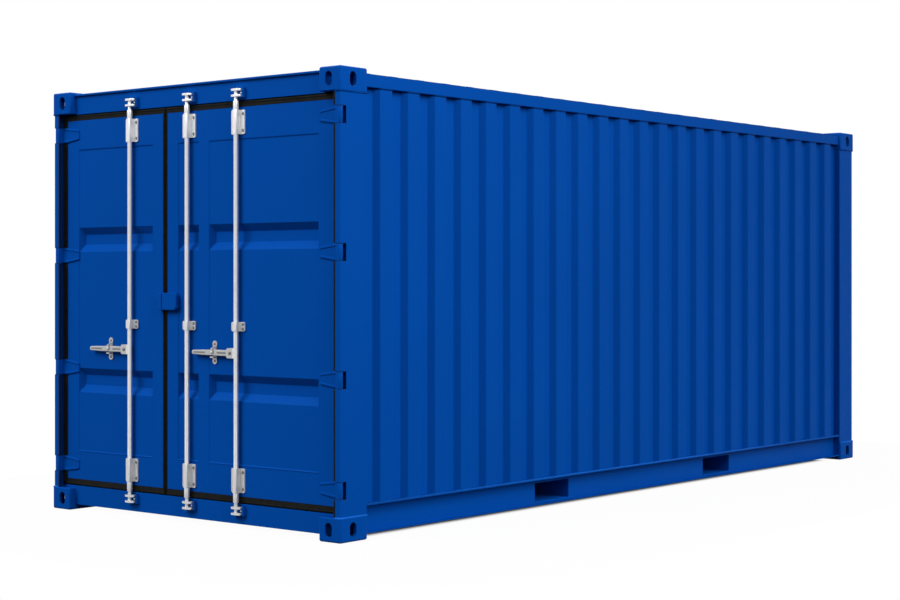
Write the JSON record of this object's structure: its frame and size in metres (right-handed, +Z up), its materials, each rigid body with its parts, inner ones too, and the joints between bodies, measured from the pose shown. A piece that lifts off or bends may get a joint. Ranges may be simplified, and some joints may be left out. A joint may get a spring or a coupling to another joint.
{
  "type": "shipping container",
  "caption": "Freight container with corrugated walls, an unequal pair of hinged end doors, upright lock rods and hollow corner castings.",
  "frame": {"origin": "centre of the footprint, on the ground", "axes": "+X along the length, away from the doors; +Y to the doors' left side seen from outside; +Z up"},
  "size_m": [6.058, 2.438, 2.591],
  "materials": {
    "blue_paint": "satin",
    "galvanised_steel": "galvanised",
    "rubber_seal": "matte",
    "floor_wood": "matte"
  },
  "bodies": {
    "container": {"corner_castings_bottom": "blue_paint", "corner_castings_top": "blue_paint", "door_post_left": "blue_paint", "door_post_right": "blue_paint", "hinge_pins": "blue_paint", "rear_post_left": "blue_paint", "rear_post_right": "blue_paint", "door_header": "blue_paint", "door_sill": "blue_paint", "cam_keepers": "blue_paint", "top_side_rail_left": "blue_paint", "top_side_rail_right": "blue_paint", "bottom_side_rail_left": "blue_paint", "bottom_side_rail_right": "blue_paint", "side_wall_left": "blue_paint", "side_wall_right": "blue_paint", "rear_wall": "blue_paint", "rear_header": "blue_paint", "rear_sill": "blue_paint", "roof_panel": "blue_paint", "floor": "floor_wood", "floor_cross_members": "blue_paint", "fork_pocket_tops": "blue_paint", "fork_pocket_straps": "blue_paint"},
    "left_door": {"left_door_leaf": "blue_paint", "left_door_gasket": "rubber_seal", "left_door_hinges": "blue_paint", "left_rod_brackets": "galvanised_steel", "left_handle_retainer": "galvanised_steel", "left_seam_plate": "blue_paint"},
    "right_door": {"right_door_leaf": "blue_paint", "right_door_gasket": "rubber_seal", "right_door_hinges": "blue_paint", "right_rod_brackets": "galvanised_steel", "right_handle_retainer": "galvanised_steel", "right_seam_plate": "blue_paint"},
    "left_rod": {"left_lock_rod": "galvanised_steel", "left_rod_cams": "galvanised_steel"},
    "middle_rod": {"middle_lock_rod": "galvanised_steel", "middle_rod_cams": "galvanised_steel"},
    "right_rod": {"right_lock_rod": "galvanised_steel", "right_rod_cams": "galvanised_steel"},
    "left_handle_bar": {"left_handle": "galvanised_steel"},
    "right_handle_bar": {"right_handle": "galvanised_steel"}
  },
  "joints": [
    {"name": "left_door_swing", "type": "hinge", "parent": "container", "child": "left_door", "pos_m": [-3.007, 1.197, 1.3], "axis": [0, 0, 1], "range_deg": [-265, 0]},
    {"name": "right_door_swing", "type": "hinge", "parent": "container", "child": "right_door", "pos_m": [-3.007, -1.197, 1.3], "axis": [0, 0, 1], "range_deg": [0, 265]},
    {"name": "left_rod_turn", "type": "hinge", "parent": "left_door", "child": "left_rod", "pos_m": [-3.001, 0.528, 1.3], "axis": [0, 0, 1], "range_deg": [0, 90]},
    {"name": "middle_rod_turn", "type": "hinge", "parent": "right_door", "child": "middle_rod", "pos_m": [-3.001, 0.024, 1.3], "axis": [0, 0, -1], "range_deg": [-90, 0]},
    {"name": "right_rod_turn", "type": "hinge", "parent": "right_door", "child": "right_rod", "pos_m": [-3.001, -0.385, 1.3], "axis": [0, 0, -1], "range_deg": [-90, 0]},
    {"name": "left_handle_lift", "type": "hinge", "parent": "left_rod", "child": "left_handle_bar", "pos_m": [-3.001, 0.566, 1.008], "axis": [1, 0, 0], "range_deg": [0, 10]},
    {"name": "right_handle_lift", "type": "hinge", "parent": "right_rod", "child": "right_handle_bar", "pos_m": [-3.001, -0.347, 1.008], "axis": [-1, 0, 0], "range_deg": [-10, 0]}
  ]
}
